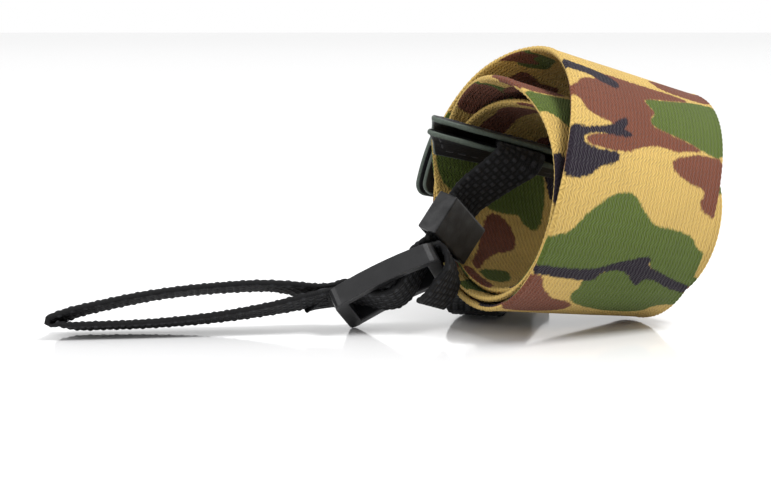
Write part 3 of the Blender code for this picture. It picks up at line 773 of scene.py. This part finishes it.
band = roll_route()
mouth_b, mouth_a = 0.0, band.length
keeper_a, adjuster_a = Place(KEEPER_A_PLACE), Place(ADJUSTER_A_PLACE)
keeper_b, adjuster_b = Place(KEEPER_B_PLACE), Place(ADJUSTER_B_PLACE)
web_a = webbing_route(
    mouth_rows(band, mouth_a, -1), LEAD_A, keeper_a, (), adjuster_a, BESIDE_A, LOOP_A_OUT, LOOP_A_BACK,
    TAIL_A,
)
web_b = webbing_route(
    mouth_rows(band, mouth_b, 1), LEAD_B, keeper_b, BACK_BEND_B, adjuster_b, BESIDE_B, LOOP_B_OUT,
    LOOP_B_BACK, TAIL_B,
)


def finish_piece(obj, material, nodes, body="strap"):
    """Gives a piece its material and its body, and hides the nodes it stands for."""
    obj.data.materials.append(material)
    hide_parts(*nodes)
    if body:
        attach(obj, body)


seam = TAB_OVERLAP + JOINT_GAP
cloth, s_grid, t_grid = ribbon(
    "camouflage_band", band, mouth_b + seam, mouth_a - seam, BAND_WIDTH, BAND_THICKNESS, BAND_STEPS,
    relief=selvedge(SELVEDGE_HEIGHT, SELVEDGE_PITCH, BAND_WIDTH / 2),
)
sides = np.zeros(s_grid.size)
cloth.data.attributes["side"].data.foreach_get("value", sides)
for ink, layer in print_layers(s_grid.ravel(), t_grid.ravel(), sides).items():
    cloth.data.attributes.new(ink, "FLOAT", "POINT").data.foreach_set("value", layer.astype(np.float32))
finish_piece(cloth, CAMOUFLAGE, ("neck_band",))

weave = basket(YARN_PITCH, WEBBING_WIDTH / YARN_COLUMNS, YARN_HEIGHT)
strap_a, _, _ = ribbon(
    "long_webbing", web_a, 0, web_a.length, WEBBING_WIDTH, WEBBING_THICKNESS, LONG_WEBBING_STEPS,
    relief=weave,
)
finish_piece(strap_a, WEBBING, ("webbing_a",), body=None)
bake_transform(strap_a)
strap_b, _, _ = ribbon(
    "tucked_webbing", web_b, 0, web_b.length, WEBBING_WIDTH, WEBBING_THICKNESS, TUCKED_WEBBING_STEPS,
    relief=weave,
)
finish_piece(strap_b, WEBBING, ("webbing_b",))


def creased(along, across):
    """Shallow waves in a leather layer."""
    return 0.06 * np.sin(along * 0.9 + across * 0.35) * np.sin(across * 0.42 + 1.3)


LAYER_OFFSET = BAND_THICKNESS / 2 + LEATHER / 2 + LAYER_GAP
for end, mouth, inward in (("a", mouth_a, -1), ("b", mouth_b, 1)):
    low, high = sorted((mouth, mouth + inward * TAB_LENGTH))
    corners = (0, TAB_CORNER) if inward < 0 else (TAB_CORNER, 0)
    for face, sign in (("outer", 1), ("inner", -1)):
        leather, _, _ = ribbon(
            f"leather_{end}_{face}", band, low, high, BAND_WIDTH, LEATHER, LEATHER_STEPS,
            off=sign * LAYER_OFFSET, corners=corners, relief=creased,
        )
        finish_piece(leather, LEATHER_BLACK, (f"tab_{end}_{face}",))
        top = sign * (LAYER_OFFSET + LEATHER / 2)
        inset = STITCH_INSET
        outline = [
            (low + inset, -BAND_WIDTH / 2 + inset), (high - inset, -BAND_WIDTH / 2 + inset),
            (high - inset, BAND_WIDTH / 2 - inset), (low + inset, BAND_WIDTH / 2 - inset),
        ]
        run = stitches(f"edge_stitches_{end}_{face}", band, outline, top)
        finish_piece(run, THREAD, (f"edge_thread_{end}_{face}",))
        reach = mouth + inward * (TAB_OVERLAP - BOX_STITCH_INSET)
        begin = mouth + inward * (STITCH_INSET + BOX_STITCH_INSET)
        box_low, box_high = sorted((begin, reach))
        half = WEBBING_WIDTH / 2 - BOX_STITCH_INSET
        outline = [(box_low, -half), (box_high, -half), (box_high, half), (box_low, half)]
        run = stitches(f"box_stitches_{end}_{face}", band, outline, top, length=BOX_STITCH_LENGTH)
        finish_piece(run, THREAD, (f"box_thread_{end}_{face}",))

for name in ("keeper_a", "adjuster_a", "keeper_b", "adjuster_b"):
    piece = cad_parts[name]
    piece.data.materials.clear()
    piece.data.materials.append(MOULDING)

# ---------------------------------------------------------------- the table, light and camera


def plain(name, colour, roughness):
    """A glossy surface of one colour that varies very little."""
    look = Look(name, roughness=roughness, specular=1.0)
    look.colour(look.blend(look.noise(3, 2), colour, tuple(c * 0.985 for c in colour)))
    return look.material


TABLE_SIZE = 30
bpy.ops.mesh.primitive_plane_add(size=TABLE_SIZE, location=(0, 0, 0))
floor = bpy.context.object
floor.name = "table"
floor.data.materials.append(plain("pale glossy table", (0.86, 0.86, 0.865), 0.08))

world = bpy.data.worlds.new("studio")
bpy.context.scene.world = world
world.use_nodes = True
world.node_tree.nodes["Background"].inputs["Color"].default_value = (1.0, 1.0, 1.0, 1)
world.node_tree.nodes["Background"].inputs["Strength"].default_value = 1.0


def soft_light(name, location, size, energy, aim=(0.0, 0.0, 0.02)):
    """A square area light that points at the strap."""
    data = bpy.data.lights.new(name, "AREA")
    data.size, data.energy = size, energy
    obj = bpy.data.objects.new(name, data)
    bpy.context.scene.collection.objects.link(obj)
    obj.location = location
    obj.rotation_euler = (Vector(location) - Vector(aim)).to_track_quat("Z", "Y").to_euler()


soft_light("key", (0.35, -0.30, 0.70), 0.30, 8.0)
soft_light("fill", (-0.6, -0.3, 0.35), 0.4, 1.5)

CAMERA_PLACE, CAMERA_DIP = (-0.00075, -0.35107, 0.05655), 7.0
CAMERA_LENS, CAMERA_SENSOR = 84.7, 36.0
camera_data = bpy.data.cameras.new("camera")
camera_data.lens, camera_data.sensor_width = CAMERA_LENS, CAMERA_SENSOR
camera = bpy.data.objects.new("camera", camera_data)
bpy.context.scene.collection.objects.link(camera)
camera.location = CAMERA_PLACE
camera.rotation_euler = (math.radians(90 - CAMERA_DIP), 0, 0)
bpy.context.scene.camera = camera
bpy.context.scene.view_settings.view_transform = "Standard"
